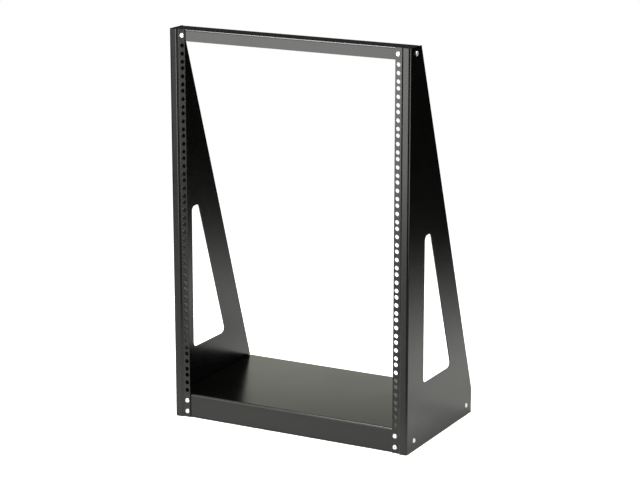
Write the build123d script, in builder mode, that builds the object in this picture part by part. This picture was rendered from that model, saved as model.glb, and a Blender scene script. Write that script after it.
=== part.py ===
import os
from math import atan2, tan

from build123d import *

# Two post open frame rack, 16 units high, made of bent steel sheet and screwed together.
# Millimetres. +X is to the rack's right as seen from the front, the front faces -Y, +Z is up.
# The origin is on the floor, in the middle of the footprint.

# Standard rack geometry
unit_height = 44.45
unit_count = 16
first_hole = 6.35  # lowest of a unit's holes, from the unit's lower edge
holes_per_unit = 3  # centred in the unit
column_spacing = 465.1  # between the two columns of rail holes
rail_hole_diameter = 8.5

# Sheet
sheet = 2.0
bend_radius = 2.0  # inside radius of every bend

# Whole rack
depth = 300.0
base_margin = 50.8  # from the floor to the first unit
top_margin = 25.4  # from the last unit to the top

# Front of each side panel, measured across the rack
inner_land = 6.2  # hole centre to the free edge of the rail
outer_land = 8.0  # hole centre to the step beside it
step_run = 2.9  # width of the slanting step
step_rise = 3.5  # how far the outer strip stands in front of the rail face
outer_strip = 15.55  # from the step to the outside of the panel

# Outline of each side panel
top_depth = 47.5  # depth of the panel at its top edge
heel_height = 50.0  # upright part of the rear edge, above the floor
front_limb = 71.5  # from the front of the rack to the window
rear_limb = 76.0  # from the window to the slanting rear edge, measured level
window_bottom = 125.0
window_top_width = 26.2
window_radius = 10.0

# Top bar and base shelf
bar_height = 23.4
shelf_top = 49.0
shelf_lift = 1.0  # shelf flanges clear the floor by this much
shelf_setback = 0.6  # rear flange of the shelf, in from the panels' rear edge
side_clearance = 0.1  # bar or shelf to the inside of a panel
corner_relief = 4.0  # square notch where two bends would meet, from the outer faces
flange_relief = 12.0  # the shelf's flanges end this far short of its corners

# Assembly screws
screw_hole_diameter = 5.5
bar_screw_drop = 12.5  # below the top of the rack
shelf_screw_low = 12.5  # above the floor, through the rails
shelf_screw_high = 35.0
shelf_side_screw = 22.0  # above the floor, through the panels' sides
shelf_side_screw_inset = 26.0  # from the front or rear flange of the shelf

# Worked out from the sizes above
height = base_margin + unit_count * unit_height + top_margin
hole_x = column_spacing / 2
half_width = hole_x + outer_land + step_run + outer_strip
panel_inside = half_width - sheet
front = -depth / 2
rear = depth / 2
rail_face = front + step_rise
rail_back = rail_face + sheet
hole_step = (unit_height - 2 * first_hole) / (holes_per_unit - 1)
hole_heights = [
    base_margin + unit * unit_height + first_hole + hole * hole_step
    for unit in range(unit_count)
    for hole in range(holes_per_unit)
]
bar_rear = front + top_depth
shelf_rear = rear - shelf_setback
bar_screw_height = height - bar_screw_drop
bar_screw_y = (rail_back + bar_rear) / 2
shelf_screw_ys = (rail_back + shelf_side_screw_inset, shelf_rear - shelf_side_screw_inset)

# The rear edge leans back at one slope from the top edge down to the heel
lean = (depth - top_depth) / (height - heel_height)


def rear_edge_at(z):
    """Where the slanting rear edge of a panel is at height z."""
    return bar_rear + (height - z) * lean


# The window's top is where its width has narrowed to window_top_width
window_front = front + front_limb
window_top = height - (window_front + window_top_width + rear_limb - bar_rear) / lean

# Side panel: one bent sheet, which is rail, step, outer strip and side wall in one.
# Its section is drawn along the middle of the sheet, so the step moves out by step_shift.
step_shift = sheet / 2 * tan(atan2(step_rise, step_run) / 2)
step_start = hole_x + outer_land + step_shift

with BuildPart() as right_side_panel:
    with BuildSketch(Plane.XY) as panel_section:
        with BuildLine() as middle_of_sheet:
            FilletPolyline(
                (hole_x - inner_land, rail_face + sheet / 2),
                (step_start, rail_face + sheet / 2),
                (step_start + step_run, front + sheet / 2),
                (half_width - sheet / 2, front + sheet / 2),
                (half_width - sheet / 2, rear),
                radius=bend_radius + sheet / 2,
            )
        trace(line_width=sheet)
    extrude(amount=height)
    with BuildSketch(Plane.YZ) as panel_outline:
        with BuildLine():
            Polyline(
                (front, 0),
                (rear, 0),
                (rear, heel_height),
                (bar_rear, height),
                (front, height),
                close=True,
            )
        make_face()
    extrude(amount=half_width, mode=Mode.INTERSECT)
    with BuildSketch(Plane.YZ) as window:
        with BuildLine():
            Polyline(
                (window_front, window_bottom),
                (rear_edge_at(window_bottom) - rear_limb, window_bottom),
                (window_front + window_top_width, window_top),
                (window_front, window_top),
                close=True,
            )
        make_face()
        fillet(window.vertices(), radius=window_radius)
    extrude(amount=half_width, mode=Mode.SUBTRACT)
    with BuildSketch(Plane.XZ.offset(-rail_face)) as rail_holes:
        with Locations(*[(hole_x, z) for z in hole_heights]):
            Circle(rail_hole_diameter / 2)
    extrude(amount=-sheet, mode=Mode.SUBTRACT)
    with BuildSketch(Plane.XZ.offset(-rail_face)) as rail_screw_holes:
        with Locations(
            (hole_x, shelf_screw_low), (hole_x, shelf_screw_high), (hole_x, bar_screw_height)
        ):
            Circle(screw_hole_diameter / 2)
    extrude(amount=-sheet, mode=Mode.SUBTRACT)
    with BuildSketch(Plane.YZ.offset(panel_inside)) as side_screw_holes:
        with Locations(
            (bar_screw_y, bar_screw_height), *[(y, shelf_side_screw) for y in shelf_screw_ys]
        ):
            Circle(screw_hole_diameter / 2)
    extrude(amount=sheet, mode=Mode.SUBTRACT)
right_side_panel.part.label = "right_side_panel"

with BuildPart() as left_side_panel:
    mirror(right_side_panel.part, about=Plane.YZ)
left_side_panel.part.label = "left_side_panel"

# Top bar: a sheet with its four edges bent down, so that it is a channel with end tabs
cross_half = panel_inside - side_clearance

with BuildPart() as top_bar:
    with BuildSketch(Plane.XY.offset(height - bar_height)) as bar_plan:
        with Locations((0, (rail_back + bar_rear) / 2)):
            Rectangle(2 * cross_half, bar_rear - rail_back)
    extrude(amount=bar_height)
    fillet(top_bar.faces().sort_by(Axis.Z)[-1].edges(), radius=bend_radius + sheet)
    offset(amount=-sheet, openings=top_bar.faces().sort_by(Axis.Z)[0])
    # the corners are notched so that each edge bends by itself
    with BuildSketch(Plane.XY.offset(height - bar_height)) as bar_corners:
        with Locations((0, (rail_back + bar_rear) / 2)):
            with GridLocations(2 * cross_half, bar_rear - rail_back, 2, 2):
                Rectangle(2 * corner_relief, 2 * corner_relief)
    extrude(amount=bar_height, mode=Mode.SUBTRACT)
    with BuildSketch(Plane.XZ.offset(-rail_back)) as bar_front_holes:
        with Locations((-hole_x, bar_screw_height), (hole_x, bar_screw_height)):
            Circle(screw_hole_diameter / 2)
    extrude(amount=-sheet, mode=Mode.SUBTRACT)
    with BuildSketch(Plane.YZ) as bar_end_holes:
        with Locations((bar_screw_y, bar_screw_height)):
            Circle(screw_hole_diameter / 2)
    extrude(amount=half_width, both=True, mode=Mode.SUBTRACT)
top_bar.part.label = "top_bar"

# Base shelf: the same kind of bent tray, upside down between the panels' feet
with BuildPart() as base_shelf:
    with BuildSketch(Plane.XY.offset(shelf_lift)) as shelf_plan:
        with Locations((0, (rail_back + shelf_rear) / 2)):
            Rectangle(2 * cross_half, shelf_rear - rail_back)
    extrude(amount=shelf_top - shelf_lift)
    fillet(base_shelf.faces().sort_by(Axis.Z)[-1].edges(), radius=bend_radius + sheet)
    offset(amount=-sheet, openings=base_shelf.faces().sort_by(Axis.Z)[0])
    with BuildSketch(Plane.XY.offset(shelf_lift)) as shelf_corners:
        with Locations((0, (rail_back + shelf_rear) / 2)):
            with GridLocations(2 * cross_half, shelf_rear - rail_back, 2, 2):
                Rectangle(2 * corner_relief, 2 * corner_relief)
    extrude(amount=shelf_top - shelf_lift, mode=Mode.SUBTRACT)
    with BuildSketch(Plane.XY.offset(shelf_lift)) as flange_ends:
        with Locations((0, (rail_back + shelf_rear) / 2)):
            with GridLocations(2 * cross_half, shelf_rear - rail_back, 2, 2):
                Rectangle(2 * flange_relief, 2 * flange_relief)
    extrude(amount=shelf_top - sheet - bend_radius - shelf_lift, mode=Mode.SUBTRACT)
    with BuildSketch(Plane.XZ.offset(-rail_back)) as shelf_front_holes:
        with Locations(
            *[(x, z) for x in (-hole_x, hole_x) for z in (shelf_screw_low, shelf_screw_high)]
        ):
            Circle(screw_hole_diameter / 2)
    extrude(amount=-sheet, mode=Mode.SUBTRACT)
    with BuildSketch(Plane.YZ) as shelf_side_holes:
        with Locations(*[(y, shelf_side_screw) for y in shelf_screw_ys]):
            Circle(screw_hole_diameter / 2)
    extrude(amount=half_width, both=True, mode=Mode.SUBTRACT)
base_shelf.part.label = "base_shelf"

os.makedirs("parts", exist_ok=True)
export_step(left_side_panel.part, "parts/left_side_panel.step")
export_step(right_side_panel.part, "parts/right_side_panel.step")
export_step(top_bar.part, "parts/top_bar.step")
export_step(base_shelf.part, "parts/base_shelf.step")
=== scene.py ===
import math

import bmesh
import bpy
from mathutils import Matrix, Vector


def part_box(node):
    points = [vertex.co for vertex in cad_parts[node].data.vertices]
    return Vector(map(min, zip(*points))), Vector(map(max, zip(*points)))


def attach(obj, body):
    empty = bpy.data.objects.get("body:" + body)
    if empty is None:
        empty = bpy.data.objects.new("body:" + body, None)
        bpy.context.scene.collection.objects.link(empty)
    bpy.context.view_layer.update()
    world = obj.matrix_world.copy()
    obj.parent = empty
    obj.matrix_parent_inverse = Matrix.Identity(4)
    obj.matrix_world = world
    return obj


# A two post open frame rack in satin black powder coat, held together by plated screws.
# Metres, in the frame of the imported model: +X right, front towards -Y, +Z up.

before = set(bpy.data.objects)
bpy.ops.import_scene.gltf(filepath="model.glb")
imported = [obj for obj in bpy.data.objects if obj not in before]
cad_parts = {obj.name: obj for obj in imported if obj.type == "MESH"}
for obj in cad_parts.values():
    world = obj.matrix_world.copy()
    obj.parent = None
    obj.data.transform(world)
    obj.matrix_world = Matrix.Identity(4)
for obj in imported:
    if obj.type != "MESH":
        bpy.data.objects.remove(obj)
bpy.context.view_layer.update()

MM = 0.001
WHITE = (1, 1, 1, 1)

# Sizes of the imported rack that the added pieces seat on
SHEET = 2.0 * MM
SIDE_CLEARANCE = 0.1 * MM  # bar or shelf to the inside of a panel
COLUMN_X = 232.55 * MM  # the rail holes' distance from the middle
BAR_SCREW_DROP = 12.5 * MM
SHELF_SCREW_LOW = 12.5 * MM
SHELF_SCREW_HIGH = 35.0 * MM
SHELF_SIDE_SCREW_HEIGHT = 22.0 * MM
SHELF_SIDE_SCREW_INSET = 26.0 * MM

bar_low, bar_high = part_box("top_bar")
shelf_low, shelf_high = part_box("base_shelf")
SIDE_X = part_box("right_side_panel")[1].x
TOP_Z = bar_high.z
RAIL_FACE_Y = shelf_low.y - SHEET

# Screw: a pan head with a cross recess
HEAD_RADIUS = 4.6 * MM
HEAD_HEIGHT = 2.0 * MM
HEAD_EDGE_WIDTH = 1.3 * MM  # how far in the head's rounded edge reaches
HEAD_EDGE_HEIGHT = 1.56 * MM  # and how far down
HEAD_EDGE_STEPS = 8
SHANK_RADIUS = 2.4 * MM
SHANK_LENGTH = 8.5 * MM
SHANK_CHAMFER = 0.5 * MM
RECESS_SPAN = 4.8 * MM
RECESS_WIDTH = 1.2 * MM
RECESS_DEPTH = 1.4 * MM
RECESS_SPAN_LEFT = 0.55  # share of the cross's span at the bottom of the recess
RECESS_WIDTH_LEFT = 0.7  # and of its arms' width
CUTTER_RISE = 0.3 * MM  # how far the recess's cutter stands above the head
FIRST_TURN = 0.7  # how far the first screw was tightened round, in radians
NEXT_TURN = 1.9  # and how much further each next one

# Nut: round and captive, behind each screw
NUT_RADIUS = 4.6 * MM
NUT_LENGTH = 3.2 * MM
NUT_CHAMFER = 0.4 * MM
NUT_CLEARANCE = 0.15 * MM  # around the shank

TURNED_SEGMENTS = 48
SHARP_ANGLE = math.radians(35)

# Camera of the photograph
IMAGE_WIDTH = 640
IMAGE_HEIGHT = 480
CAMERA_PLACE = (2.0038, -3.7794, 1.4451)
CAMERA_YAW = 0.483904
CAMERA_PITCH = 0.251828
CAMERA_ROLL = 0.00133
FOCAL_PIXELS = 2222.2
CENTRE_PIXEL = (331.52, 248.93)
SENSOR = 36.0

# Powder coat: a fine ripple all over, and slow clouds that change its gloss and tone
RIPPLE_SCALE = 900
RIPPLE_DETAIL = 3
RIPPLE_STRENGTH = 0.25
RIPPLE_HEIGHT = 0.04 * MM
CLOUD_SCALE = 14
CLOUD_DETAIL = 4
CLOUD_SPREAD = (0.3, 0.7)
COAT_ROUGHNESS = (0.205, 0.235)
COAT_TONES = ((0.0004, 0.0004, 0.0003, 1), (0.0008, 0.0008, 0.0007, 1))
LEFT_COAT_TURN = -0.105  # about 6 degrees

# Plated steel: fine streaks that change its gloss and tone
STREAK_SCALE = 1500
STREAK_DETAIL = 2
STEEL_ROUGHNESS = (0.42, 0.55)
STEEL_TONES = ((0.88, 0.88, 0.87, 1), (0.97, 0.97, 0.97, 1))

# Floor, as the coat mirrors it: a painted pool of light in the floor's colour, which fades out with the
# distance from its centre.
# Each fade has its two ends in metres, and the tones or shares of the painted pool's tone at them.
FLOOR_RADIUS = 2.4
FLOOR_SEGMENTS = 96
FLOOR_ROUGHNESS = 0.8
LIGHT_POOL_CENTRE = (-0.35, -0.6, 0)
LIGHT_POOL_FADE = (1.2, 2.45)
LIGHT_POOL_TONES = (0.8, 0.01)
RIGHTWARDS = (0.9, -0.44, 0)  # painted falloff of light: the floor's colour is darker far along this direction
RIGHT_FADE = (0.3, 0.65)
RIGHT_SHARE = (1.0, 0.25)
FRONT_FADE = (-0.4, -0.22)  # painted light and shade along Y: the floor's colour is darker in front, and palest at the rack
FRONT_SHARE = (0.8, 1.1)
SHADE_CENTRE = (0.12, 0.36, 0)  # a painted shade spot in the floor's colour, where the rack's own soft shade falls behind it
SHADE_FADE = (0.06, 0.28)
SHADE_SHARE = (0.5, 1.0)
GLOW = (1.0, 0.85)  # to the camera, of the darkest and the palest floor

# World: its tone rises from just under the horizon to well above it
HORIZON_RISE = (-0.05, 0.2)
WORLD_TONES = (0.01, 0.06)


def make_camera():
    data = bpy.data.cameras.new("camera")
    data.sensor_width = SENSOR
    data.lens = FOCAL_PIXELS * SENSOR / IMAGE_WIDTH
    data.shift_x = (IMAGE_WIDTH / 2 - CENTRE_PIXEL[0]) / IMAGE_WIDTH
    data.shift_y = (CENTRE_PIXEL[1] - IMAGE_HEIGHT / 2) / IMAGE_WIDTH
    camera = bpy.data.objects.new("camera", data)
    bpy.context.collection.objects.link(camera)
    camera.matrix_world = (
        Matrix.Translation(CAMERA_PLACE)
        @ Matrix.Rotation(CAMERA_YAW, 4, "Z")
        @ Matrix.Rotation(math.pi / 2 - CAMERA_PITCH, 4, "X")
        @ Matrix.Rotation(CAMERA_ROLL, 4, "Z")
    )
    bpy.context.scene.camera = camera


def area_lamp(name, place, target, size, watts, blue=0.96):
    """A soft lamp aimed at a target; blue below 1 makes its light warmer."""
    data = bpy.data.lights.new(name, "AREA")
    data.shape = "RECTANGLE"
    data.size, data.size_y = size
    data.energy = watts
    data.color = (1, 1, blue)
    lamp = bpy.data.objects.new(name, data)
    bpy.context.collection.objects.link(lamp)
    lamp.location = place
    lamp.rotation_euler = (Vector(target) - Vector(place)).to_track_quat("-Z", "Y").to_euler()
    lamp.visible_camera = False


def make_lamps():
    """The studio's soft lamps, which the coat mirrors."""
    area_lamp("front_softbox", (-0.81, -1.68, 0.62), (-0.19, -0.08, 0.57), (1.1, 0.7), watts=12, blue=0.98)
    area_lamp("front_low", (-0.81, -1.68, 0.15), (-0.19, -0.08, 0.12), (1.1, 0.24), watts=3, blue=0.98)
    area_lamp("bar_card", (-0.27, -0.52, 1.1), (0, -0.14, 0.785), (0.75, 0.42), watts=3.6)
    area_lamp("left_card", (-1.95, -1.7, 0.5), (-0.24, -0.15, 0.3), (0.9, 1.0), watts=1.6)
    area_lamp("top_softbox", (0.45, -0.05, 2.5), (0.1, -0.1, 0), (1.8, 1.8), watts=60, blue=0.95)
    area_lamp("key_softbox", (-0.54, -0.5, 1.95), (0, -0.1, 0.4), (0.45, 0.7), watts=21)
    area_lamp("key_edge", (-1.05, -0.5, 1.85), (0, -0.1, 0.4), (0.4, 0.6), watts=2.5)
    area_lamp("right_card", (1.9, 0.0, 0.5), (0.2, -0.1, 0.4), (0.9, 1.0), watts=12)
    area_lamp("right_front_card", (1.9, -1.0, 0.5), (0, -0.15, 0.4), (0.9, 1.0), watts=4.5)
    area_lamp("back_card", (-0.9, 1.9, 0.4), (0, 0.1, 0.3), (2.4, 0.8), watts=6.3, blue=0.88)


def new_material(name):
    material = bpy.data.materials.new(name)
    material.use_nodes = True
    tree = material.node_tree
    return material, tree, tree.nodes["Principled BSDF"]


def object_place(tree):
    return tree.nodes.new("ShaderNodeTexCoord").outputs["Object"]


def noise(tree, place, scale, detail):
    node = tree.nodes.new("ShaderNodeTexNoise")
    node.inputs["Scale"].default_value = scale
    node.inputs["Detail"].default_value = detail
    tree.links.new(place, node.inputs["Vector"])
    return node.outputs["Fac"]


def mapped(tree, value, given, wanted, smooth=False):
    """Takes a value from the given range to the wanted one, and holds it at their ends."""
    node = tree.nodes.new("ShaderNodeMapRange")
    if smooth:
        node.interpolation_type = "SMOOTHSTEP"
    node.inputs["From Min"].default_value, node.inputs["From Max"].default_value = given
    node.inputs["To Min"].default_value, node.inputs["To Max"].default_value = wanted
    tree.links.new(value, node.inputs["Value"])
    return node.outputs["Result"]


def mixed(tree, factor, tones):
    """A colour between two tones."""
    node = tree.nodes.new("ShaderNodeMix")
    node.data_type = "RGBA"
    node.inputs["A"].default_value, node.inputs["B"].default_value = tones
    tree.links.new(factor, node.inputs["Factor"])
    return node.outputs["Result"]


def vector_math(tree, operation, vector, other=None):
    """One sum on a vector, with a fixed other vector where it takes one."""
    node = tree.nodes.new("ShaderNodeVectorMath")
    node.operation = operation
    tree.links.new(vector, node.inputs[0])
    if other is not None:
        node.inputs[1].default_value = other
    gives_number = operation in ("DISTANCE", "DOT_PRODUCT")
    return node.outputs["Value" if gives_number else "Vector"]


def separated(tree, vector):
    node = tree.nodes.new("ShaderNodeSeparateXYZ")
    tree.links.new(vector, node.inputs[0])
    return node.outputs


def joined(tree, operation, first, *others):
    """Brings values together one after the other, such as by MULTIPLY or MAXIMUM."""
    for other in others:
        node = tree.nodes.new("ShaderNodeMath")
        node.operation = operation
        tree.links.new(first, node.inputs[0])
        tree.links.new(other, node.inputs[1])
        first = node.outputs["Value"]
    return first


def over(tree, value, limit):
    """1 where the value is over the limit, else 0."""
    node = tree.nodes.new("ShaderNodeMath")
    node.operation = "GREATER_THAN"
    tree.links.new(value, node.inputs[0])
    node.inputs[1].default_value = limit
    return node.outputs["Value"]


def camera_ray(tree):
    return tree.nodes.new("ShaderNodeLightPath").outputs["Is Camera Ray"]


def coat_material(name, turn=0.0):
    """Satin powder coat: nearly black, with the fine ripple of a fused powder.

    turn is how far the front faces are out of square, as a sideways share of their normal.
    """
    material, tree, shader = new_material(name)
    place = object_place(tree)

    bump = tree.nodes.new("ShaderNodeBump")
    bump.inputs["Strength"].default_value = RIPPLE_STRENGTH
    bump.inputs["Distance"].default_value = RIPPLE_HEIGHT
    tree.links.new(noise(tree, place, RIPPLE_SCALE, RIPPLE_DETAIL), bump.inputs["Height"])
    if turn:
        square = tree.nodes.new("ShaderNodeNewGeometry").outputs["Normal"]
        turned_normal = vector_math(tree, "ADD", square, (turn, 0, 0))
        tree.links.new(vector_math(tree, "NORMALIZE", turned_normal), bump.inputs["Normal"])
    tree.links.new(bump.outputs["Normal"], shader.inputs["Normal"])

    cloud = noise(tree, place, CLOUD_SCALE, CLOUD_DETAIL)
    tree.links.new(mapped(tree, cloud, CLOUD_SPREAD, COAT_ROUGHNESS), shader.inputs["Roughness"])
    tree.links.new(mixed(tree, cloud, COAT_TONES), shader.inputs["Base Color"])
    return material


def steel_material():
    """Bright plated steel, slightly streaked."""
    material, tree, shader = new_material("plated_steel")
    shader.inputs["Metallic"].default_value = 1.0
    streak = noise(tree, object_place(tree), STREAK_SCALE, STREAK_DETAIL)
    tree.links.new(mapped(tree, streak, (0, 1), STEEL_ROUGHNESS), shader.inputs["Roughness"])
    tree.links.new(mixed(tree, streak, STEEL_TONES), shader.inputs["Base Color"])
    return material


def turned(bm, profile):
    """Spins a profile of (radius, z) points about Z into a closed skin."""
    rings = []
    for radius, z in profile:
        if radius == 0:
            rings.append([bm.verts.new((0, 0, z))])
            continue
        rings.append(
            [
                bm.verts.new((radius * math.cos(turn), radius * math.sin(turn), z))
                for turn in (math.tau * n / TURNED_SEGMENTS for n in range(TURNED_SEGMENTS))
            ]
        )
    for low, high in zip(rings, rings[1:]):
        for n in range(TURNED_SEGMENTS):
            m = (n + 1) % TURNED_SEGMENTS
            corners = [low[n % len(low)], low[m % len(low)], high[m % len(high)], high[n % len(high)]]
            # at a ring of one point, two corners are the same
            bm.faces.new(list(dict.fromkeys(corners)))


def mesh_object(name, build):
    mesh = bpy.data.meshes.new(name)
    bm = bmesh.new()
    build(bm)
    bmesh.ops.recalc_face_normals(bm, faces=bm.faces)
    bm.to_mesh(mesh)
    bm.free()
    piece = bpy.data.objects.new(name, mesh)
    bpy.context.collection.objects.link(piece)
    return piece


def screw_profile():
    """Outline of head and shank from the head's crown down to the tip, head resting on z = 0."""
    edge = []
    for n in range(HEAD_EDGE_STEPS + 1):
        turn = math.pi / 2 * n / HEAD_EDGE_STEPS
        radius = HEAD_RADIUS - HEAD_EDGE_WIDTH * (1 - math.sin(turn))
        z = HEAD_HEIGHT - HEAD_EDGE_HEIGHT * (1 - math.cos(turn))
        edge.append((radius, z))
    tip = -SHANK_LENGTH
    return [
        (0, HEAD_HEIGHT),
        *edge,
        (HEAD_RADIUS, 0),
        (SHANK_RADIUS, 0),
        (SHANK_RADIUS, tip + SHANK_CHAMFER),
        (SHANK_RADIUS - SHANK_CHAMFER, tip),
        (0, tip),
    ]


def recess_cutter(bm):
    """A cross whose arms narrow towards the bottom of the recess."""
    for turn in (0, math.pi / 2):
        spin = Matrix.Rotation(turn, 4, "Z")
        for vert in bmesh.ops.create_cube(bm, size=1)["verts"]:
            deep = vert.co.z < 0
            span = RECESS_SPAN * (RECESS_SPAN_LEFT if deep else 1)
            width = RECESS_WIDTH * (RECESS_WIDTH_LEFT if deep else 1)
            z = HEAD_HEIGHT - RECESS_DEPTH if deep else HEAD_HEIGHT + CUTTER_RISE
            vert.co = spin @ Vector((vert.co.x * span, vert.co.y * width, z))


def make_screw_mesh():
    """A screw with its recess cut, smooth but for its sharp edges."""
    screw = mesh_object("screw", lambda bm: turned(bm, screw_profile()))
    for face in screw.data.polygons:
        face.use_smooth = True
    cutter = mesh_object("cutter", recess_cutter)
    cut = screw.modifiers.new("recess", "BOOLEAN")
    cut.object = cutter
    cut.use_self = True
    bpy.context.view_layer.update()
    solid = bpy.data.meshes.new_from_object(screw.evaluated_get(bpy.context.evaluated_depsgraph_get()))
    solid.name = "screw"
    bpy.data.objects.remove(screw)
    bpy.data.objects.remove(cutter)
    solid.set_sharp_from_angle(angle=SHARP_ANGLE)
    return solid


def nut_profile():
    """A round captive nut on the far face of a panel and the flange behind it."""
    near = -(2 * SHEET + SIDE_CLEARANCE)
    far = near - NUT_LENGTH
    bore = SHANK_RADIUS + NUT_CLEARANCE
    return [
        (bore, near),
        (NUT_RADIUS, near),
        (NUT_RADIUS, far + NUT_CHAMFER),
        (NUT_RADIUS - NUT_CHAMFER, far),
        (bore, far),
        (bore, near),
    ]


def make_nut_mesh():
    nut = mesh_object("nut", lambda bm: turned(bm, nut_profile()))
    mesh = nut.data
    bpy.data.objects.remove(nut)
    return mesh


def screw_places():
    """Six places at each side, each with the way out of the panel: three on the rail, three on the side."""
    bar_z = TOP_Z - BAR_SCREW_DROP
    rail_heights = {"top": bar_z, "low": SHELF_SCREW_LOW, "high": SHELF_SCREW_HIGH}
    side_points = {
        "top": ((bar_low.y + bar_high.y) / 2, bar_z),
        "front": (shelf_low.y + SHELF_SIDE_SCREW_INSET, SHELF_SIDE_SCREW_HEIGHT),
        "rear": (shelf_high.y - SHELF_SIDE_SCREW_INSET, SHELF_SIDE_SCREW_HEIGHT),
    }
    places = {}
    for side, sign in (("left", -1), ("right", 1)):
        for name, z in rail_heights.items():
            places[f"{side}_rail_{name}"] = ((sign * COLUMN_X, RAIL_FACE_Y, z), (0, -1, 0))
        for name, (y, z) in side_points.items():
            places[f"{side}_side_{name}"] = ((sign * SIDE_X, y, z), (sign, 0, 0))
    return places


def fit_screws():
    """A screw and its nut at each place."""
    meshes = {"screw": make_screw_mesh(), "nut": make_nut_mesh()}
    steel = steel_material()
    for mesh in meshes.values():
        mesh.materials.clear()
        mesh.materials.append(steel)
    for n, (name, (place, out)) in enumerate(screw_places().items()):
        turn = Matrix.Rotation(FIRST_TURN + NEXT_TURN * n, 4, "Z")
        seat = Matrix.Translation(place) @ Vector(out).to_track_quat("Z", "Y").to_matrix().to_4x4()
        for kind, mesh in meshes.items():
            piece = bpy.data.objects.new(f"{kind}_{name}", mesh)
            bpy.context.collection.objects.link(piece)
            piece.matrix_world = seat @ turn
            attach(piece, "root")


def floor_painted_light(tree, place):
    """The floor's colour: a painted pool of light, with painted falloff and painted shade."""
    from_light_pool = vector_math(tree, "DISTANCE", place, LIGHT_POOL_CENTRE)
    rightwards = vector_math(tree, "DOT_PRODUCT", place, RIGHTWARDS)
    from_shade = vector_math(tree, "DISTANCE", place, SHADE_CENTRE)
    return joined(
        tree,
        "MULTIPLY",
        mapped(tree, from_light_pool, LIGHT_POOL_FADE, LIGHT_POOL_TONES, smooth=True),
        mapped(tree, rightwards, RIGHT_FADE, RIGHT_SHARE, smooth=True),
        mapped(tree, separated(tree, place)["Y"], FRONT_FADE, FRONT_SHARE, smooth=True),
        mapped(tree, from_shade, SHADE_FADE, SHADE_SHARE, smooth=True),
    )


def floor_glow(tree, place, tone):
    """White to the camera, but for a trace of the rack's shadow, and none under the shelf."""
    middle = (shelf_low + shelf_high) / 2
    half = (shelf_high - shelf_low) / 2
    apart = separated(tree, vector_math(tree, "ABSOLUTE", vector_math(tree, "SUBTRACT", place, middle)))
    uncovered = joined(tree, "MAXIMUM", over(tree, apart["X"], half.x), over(tree, apart["Y"], half.y))
    white = mapped(tree, tone, (0, LIGHT_POOL_TONES[0]), GLOW)
    return joined(tree, "MULTIPLY", white, uncovered, camera_ray(tree))


def make_floor():
    """A pale floor with painted light and shade in its colour, which the coat mirrors as it is lit, and
    that the camera sees white.
    """
    floor = mesh_object(
        "floor",
        lambda bm: bmesh.ops.create_circle(
            bm, cap_ends=True, segments=FLOOR_SEGMENTS, radius=FLOOR_RADIUS
        ),
    )
    material, tree, shader = new_material("pale_floor")
    shader.inputs["Roughness"].default_value = FLOOR_ROUGHNESS
    shader.inputs["Emission Color"].default_value = WHITE
    place = object_place(tree)
    tone = floor_painted_light(tree, place)
    tree.links.new(tone, shader.inputs["Base Color"])
    tree.links.new(floor_glow(tree, place, tone), shader.inputs["Emission Strength"])
    floor.data.materials.append(material)


def make_world():
    """White to the camera, and dim to everything else, a little brighter above the horizon."""
    world = bpy.data.worlds.new("studio")
    bpy.context.scene.world = world
    world.use_nodes = True
    tree = world.node_tree
    direction = tree.nodes.new("ShaderNodeTexCoord").outputs["Generated"]
    dim = mapped(tree, separated(tree, direction)["Z"], HORIZON_RISE, WORLD_TONES)
    tone = joined(tree, "MAXIMUM", dim, camera_ray(tree))
    tree.links.new(tone, tree.nodes["Background"].inputs["Color"])


def coat_pieces():
    """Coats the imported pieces; the left panel's coat is shaded as if it stood a little out of square."""
    coat = coat_material("satin_black_powder_coat")
    left_coat = coat_material("satin_black_powder_coat_left", turn=LEFT_COAT_TURN)
    for name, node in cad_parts.items():
        node.data.materials.clear()
        node.data.materials.append(left_coat if name == "left_side_panel" else coat)


make_camera()
make_lamps()
make_world()
make_floor()
coat_pieces()
fit_screws()

bpy.context.scene.view_settings.view_transform = "Standard"
